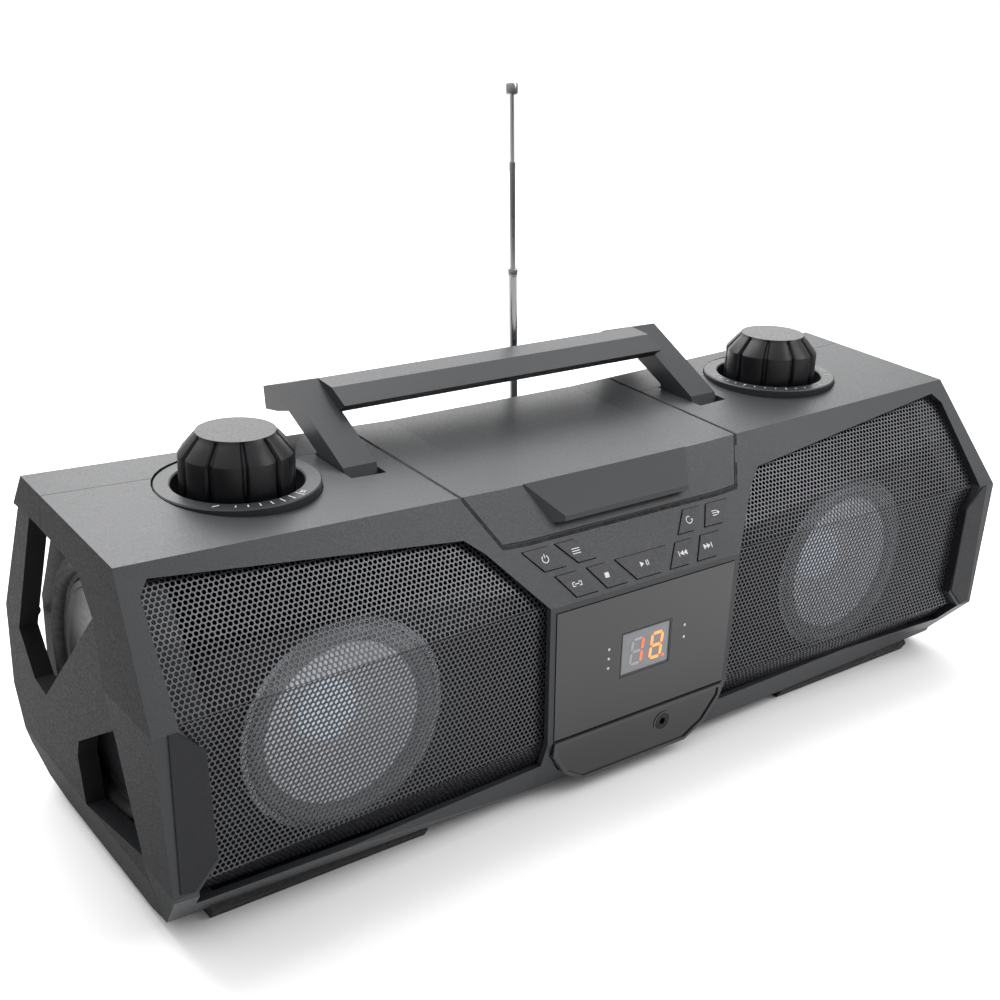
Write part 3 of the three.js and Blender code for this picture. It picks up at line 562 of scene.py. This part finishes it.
# ------------------------------------------------------------------ pieces kept as modelled
# Material and edge radius in mm.
KEEP = {
    "front_shell": ("shell", 1.2),
    "rear_shell": ("shell", 1.2),
    "disc_lid": ("shell", 0.7),
    "carry_handle": ("shell", 1.6),
    "left_end_guard": ("end", 1.6),
    "right_end_guard": ("end", 1.6),
    "battery_cover": ("shell", 0.5),
    "disc_well": ("black", 0.3),
    "display_panel": ("gloss", 0.3),
    "chin_cover": ("gloss", 0.6),
    "headphone_jack": ("black", 0.3),
    "antenna_swivel": ("black", 0.3),
    "antenna_tube": ("chrome", 0),
    "lid_hinge_pin": ("steel", 0),
    "left_handle_pin": ("steel", 0),
    "right_handle_pin": ("steel", 0),
    "disc_spindle": ("black", 0.3),
    "laser_sled": ("black", 0.3),
    "main_board": ("board", 0),
    "power_transformer": ("steel", 0.5),
    "ac_inlet": ("black", 0.4),
    "volume_control": ("steel", 0),
    "tuning_control": ("steel", 0),
    "left_baffle": ("cloth", 0),
    "right_baffle": ("cloth", 0),
    "left_speaker_basket": ("steel", 0),
    "right_speaker_basket": ("steel", 0),
    "left_speaker_magnet": ("steel", 0.6),
    "right_speaker_magnet": ("steel", 0.6),
    "front_left_foot": ("rubber", 0.6),
    "front_right_foot": ("rubber", 0.6),
    "rear_left_foot": ("rubber", 0.6),
    "rear_right_foot": ("rubber", 0.6),
}
for n, (m, w) in KEEP.items():
    paint(N[n], m)
    if w:
        bevel(N[n], w)
for n in ICONS:
    paint(N[n], "key")
    bevel(N[n], 0.35)
smooth_by_angle(N["antenna_tube"], 30)

# Soft wide chamfer where the outer skin turns onto each end.
def skin_gap(x, y, z):
    s = section(x)
    best = 1e9
    for i in range(len(s)):
        a, b = Vector(s[i]), Vector(s[(i + 1) % len(s)])
        ab = b - a
        t = max(0, min(1, (Vector((y, z)) - a).dot(ab) / ab.length_squared))
        best = min(best, (a + ab * t - Vector((y, z))).length)
    return best

def end_chamfer(o, width):
    me = o.data
    bm = bmesh.new()
    bm.from_mesh(me)
    layer = bm.edges.layers.float.get("bevel_weight_edge") or bm.edges.layers.float.new("bevel_weight_edge")
    world_of = o.matrix_world
    for e in bm.edges:
        ends = [world_of @ v.co / MM for v in e.verts]
        on = all(abs(v.x) > 240 and v.z > 8 and skin_gap(v.x, v.y, v.z) < 0.6 for v in ends)
        turns = len(e.link_faces) == 2 and e.calc_face_angle(0) > math.radians(25)
        across = abs(ends[0].x - ends[1].x) < 12
        e[layer] = 1.0 if on and turns and across else 0.0
    bm.to_mesh(me)
    bm.free()
    m = o.modifiers.new("end_chamfer", "BEVEL")
    m.width = width * MM
    m.segments = 4
    m.limit_method = "WEIGHT"
    m.use_clamp_overlap = False
    o.modifiers.move(len(o.modifiers) - 1, 0)
for n in ("front_shell", "rear_shell"):
    end_chamfer(N[n], END_CHAMFER)
    me = N[n].data
    me.materials.append(M["end"])
    for f in me.polygons:
        where = N[n].matrix_world @ f.center / MM
        if abs(f.normal.x) > 0.75 and abs(where.x) > 228:
            f.material_index = 1

# ------------------------------------------------------------------ rims, seams and rear details
def rim(name, outline, width, lo, hi, place, mat):
    """Raised border that follows an outline, its inner edge set in by a width."""
    c = Vector((sum(p[0] for p in outline), sum(p[1] for p in outline))) / len(outline)
    inner = []
    n = len(outline)
    for i in range(n):
        a, b, d = Vector(outline[i - 1]), Vector(outline[i]), Vector(outline[(i + 1) % n])
        u, w = (b - a).normalized(), (d - b).normalized()
        nu, nw = Vector((-u.y, u.x)), Vector((-w.y, w.x))
        if nu.dot(c - b) < 0:
            nu, nw = -nu, -nw
        m = (nu + nw).normalized()
        inner.append(b + m * (width / m.dot(nu)))
    verts, faces = [], []
    for pts, h in ((outline, lo), (outline, hi), (inner, hi), (inner, lo)):
        verts += [Vector(place(p[0], p[1], h)) * MM for p in pts]
    for k in range(4):
        l = (k + 1) % 4
        for i in range(n):
            j = (i + 1) % n
            faces.append((k * n + i, k * n + j, l * n + j, l * n + i))
    return make(name, verts, faces, mat)

def chin(a, b, c):
    return (a, -85.4 + (35.6 - b) * 2.6 / 28.4 - c, b)
CHIN = [(-55, 35.2), (-55, 28), (-45.8, 14.7), (-33.9, 7.5),
        (33.9, 7.5), (45.8, 14.7), (55, 28), (55, 35.2)]
o = rim("chin_rim", CHIN, 1.8, -0.4, 0.9, chin, "rim")
bevel(o, 0.3)
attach(o, "cabinet")
ring = around(JACK_X, JACK_Z, arc(0, 0, 5.6, 0, 352.5, 47))
o = rim("jack_ring", ring, 1.0, -0.2, 0.35, chin, "rim")
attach(o, "cabinet")
frame_line = [(-16, 59), (16, 59), (16, 82.2), (-16, 82.2)]
o = rim("window_frame", frame_line, 0.5, -0.4, 0.05, front(PANEL_FACE), "rim")
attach(o, "cabinet")

# Dark strip laid in the shell along the lid edge: painted shadow of the seam gap, not a real seal.
def skin_z(x, y):
    s = section(x)
    for a, b in ((s[3], s[4]), (s[4], s[5])):
        if a[0] <= y <= b[0]:
            return a[1] + (b[1] - a[1]) * (y - a[0]) / (b[0] - a[0])
    return s[5][1]

LID_LINE = [(-86.6, 50.0), (-86.6, -49.7), (-73.9, -65.6), (73.9, -65.6), (86.6, -49.7), (86.6, 50.0)]
def seam_shadow_strip(width, low, high, steps=30):
    run = []
    for k in range(len(LID_LINE) - 1):
        (x0, y0), (x1, y1) = LID_LINE[k], LID_LINE[k + 1]
        out = Vector((y0 - y1, x1 - x0)).normalized() * -1
        for i in range(steps + 1):
            t = i / steps
            run.append((x0 + (x1 - x0) * t, y0 + (y1 - y0) * t, out))
    verts, faces = [], []
    for x, y, out in run:
        for w, h in ((0, low), (0, high), (width, high), (width, low)):
            px, py = x + out.x * w, y + out.y * w
            verts.append(Vector((px, py, skin_z(px, py) + h)) * MM)
    for i in range(len(run) - 1):
        for k in range(4):
            l = (k + 1) % 4
            faces.append((i * 4 + k, i * 4 + l, i * 4 + 4 + l, i * 4 + 4 + k))
    last = (len(run) - 1) * 4
    faces += [(0, 1, 2, 3), (last, last + 1, last + 2, last + 3)]
    return make("lid_seam_painted_shadow", verts, faces, "cloth")
o = seam_shadow_strip(1.1, -0.5, 0.12)
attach(o, "cabinet")

def rear(a, b, c):
    return (a, 94 + (88 - b) / 43 + c, b)
# Rear vents: thin dark strips on the flat rear skin, painted shade of vent slots that are not cut.
vent_shade_strips = []
for k in range(13):
    for x0, x1 in ((-216, -126), (196, 226)):
        z = 50 + k * 2.8
        vent_shade_strips.append(slab("v", rect(x0, x1, z, z + 1.2), 0.02, 0.08, rear, "cloth"))
o = joined("rear_vent_painted_shade", vent_shade_strips)
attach(o, "cabinet")
ribs = []
for k in range(GRIP_RIBS):
    x = -16 + k * GRIP_RIB_STEP
    ribs.append(slab("r", rect(x - 0.6, x + 0.6, 74, 84), 0.0, 0.7, rear, "shell"))
o = joined("battery_cover_grip", ribs)
bevel(o, 0.25)
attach(o, "battery_cover")
screws = []
for x, z in ((-236, 80), (236, 80), (-112, 52), (112, 52), (-112, 82), (112, 82)):
    hole = around(x, z, arc(0, 0, 3.0, 0, 345, 23))
    # A dark disc inside each well rim: painted shade of the screw hole, which is not cut.
    pit_shade = around(x, z, arc(0, 0, 3.0, 0, 345, 23), 0.7)
    screws.append(rim("w", hole, 0.9, 0.0, 0.3, rear, "shell"))
    screws.append(slab("h", pit_shade, 0.01, 0.06, rear, "cloth"))
o = joined("rear_screw_wells", screws)
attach(o, "cabinet")
collar = [(1.9, 86), (2.35, 86), (2.7, 86.4), (2.7, 89.8), (2.4, 90.3), (1.9, 90.3)]
o = lathe("antenna_collar", collar, "z", (0, 0, 0), "chrome", 48)
o.data.transform(LEAN)
o.data.transform(TO_FOOT)
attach(o, "antenna_tube")

# ------------------------------------------------------------------ stage, light, camera
bpy.ops.mesh.primitive_plane_add(size=70, location=(0, 0, -0.0002))
floor = bpy.context.object
floor.name = "studio_floor"
fm, ft, fs = nodes_of("floor_white")
fn = noise(ft, 3.0)
floor_tone = ramp(ft, fn.outputs[0], (0.86, 0.86, 0.865, 1), (0.9, 0.9, 0.905, 1))
ft.links.new(floor_tone.outputs[0], fs.inputs["Base Color"])
fs.inputs["Roughness"].default_value = 0.9
floor.data.materials.append(fm)

SKY_LOW = 0.20
SKY_HIGH = 1.36
world = bpy.data.worlds.new("studio")
bpy.context.scene.world = world
world.use_nodes = True
wt = world.node_tree
bg = wt.nodes["Background"]
geo = wt.nodes.new("ShaderNodeTexCoord")
sep = wt.nodes.new("ShaderNodeSeparateXYZ")
wt.links.new(geo.outputs["Generated"], sep.inputs[0])
sky = wt.nodes.new("ShaderNodeMapRange")
sky.inputs["From Min"].default_value = -0.15
sky.inputs["From Max"].default_value = 0.75
sky.inputs["To Min"].default_value = SKY_LOW
sky.inputs["To Max"].default_value = SKY_HIGH
tip = wt.nodes.new("ShaderNodeMath")
tip.operation = "MULTIPLY_ADD"
wt.links.new(sep.outputs["Y"], tip.inputs[0])
tip.inputs[1].default_value = 0.28
wt.links.new(sep.outputs["Z"], tip.inputs[2])
wt.links.new(tip.outputs[0], sky.inputs["Value"])
wt.links.new(sky.outputs[0], bg.inputs[1])
bg.inputs[0].default_value = (1.0, 1.0, 1.0, 1)

def area(name, loc, target, size, power, size_y=None):
    d = bpy.data.lights.new(name, "AREA")
    d.energy = power
    d.shape = "RECTANGLE"
    d.size = size
    d.size_y = size_y or size
    o = bpy.data.objects.new(name, d)
    bpy.context.scene.collection.objects.link(o)
    o.location = loc
    o.rotation_euler = (Vector(target) - Vector(loc)).to_track_quat("-Z", "Y").to_euler()
    return o
area("key_top", (-0.1, 0.75, 1.3), (0, 0, 0.12), 1.3, 26)
area("rear_sheen", (1.05, 1.45, 0.85), (0, 0, 0.12), 1.7, 16)
area("slope_sheen", (1.05, -1.0, 1.3), (0, -0.05, 0.12), 1.0, 13)

cam = bpy.data.cameras.new("photo_view")
cam.sensor_width = 36.0
cam.lens = 50.42
cam.clip_start = 0.01
co = bpy.data.objects.new("photo_view", cam)
bpy.context.scene.collection.objects.link(co)
yaw, pitch, roll = math.radians(37.0), math.radians(20.966), math.radians(1.68)
fwd = Vector((math.sin(yaw) * math.cos(pitch), math.cos(yaw) * math.cos(pitch), -math.sin(pitch)))
right0 = fwd.cross(Vector((0, 0, 1))).normalized()
up0 = right0.cross(fwd)
right = right0 * math.cos(roll) + up0 * math.sin(roll)
up = up0 * math.cos(roll) - right0 * math.sin(roll)
m = Matrix((right, up, -fwd)).transposed().to_4x4()
m.translation = Vector((-0.42578, -0.52946, 0.37932))
co.matrix_world = m
bpy.context.scene.camera = co
bpy.context.scene.view_settings.view_transform = "Standard"
bpy.context.scene.view_settings.look = "None"
bpy.context.scene.view_settings.exposure = 0.0
